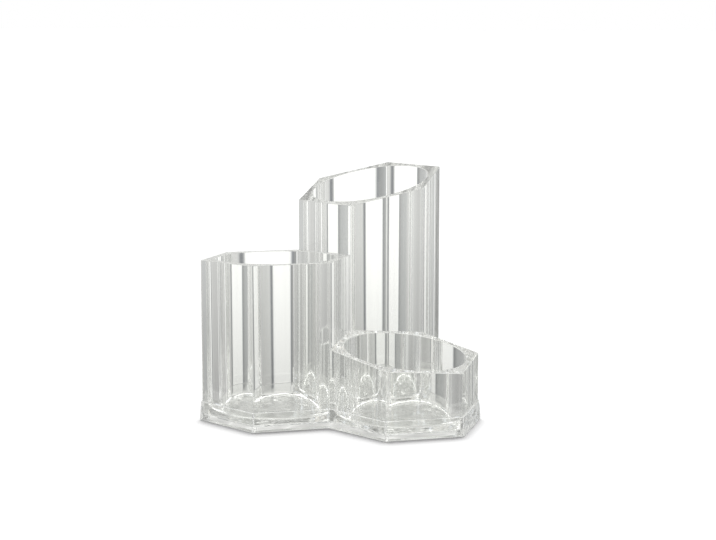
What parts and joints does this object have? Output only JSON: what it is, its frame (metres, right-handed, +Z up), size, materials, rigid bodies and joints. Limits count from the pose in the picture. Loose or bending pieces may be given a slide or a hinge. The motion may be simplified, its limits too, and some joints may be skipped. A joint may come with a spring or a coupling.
{
  "type": "cosmetic brush holder",
  "caption": "Clear brush holder: hexagonal cups of stepped heights with round bores and sloping rims, clustered on one flared foot.",
  "frame": {"origin": "on the table, under the middle of the foot's outline", "axes": "+Z up; the tall cup is towards +Y, the medium cup towards -X and the short cup towards +X"},
  "size_m": [0.145, 0.1462, 0.1297],
  "materials": {
    "clear_plastic": "clear, polished, colourless moulded plastic"
  },
  "bodies": {
    "root": {"tall_cup": "clear_plastic", "medium_cup": "clear_plastic", "short_cup": "clear_plastic", "flared_foot": "clear_plastic"}
  },
  "joints": []
}
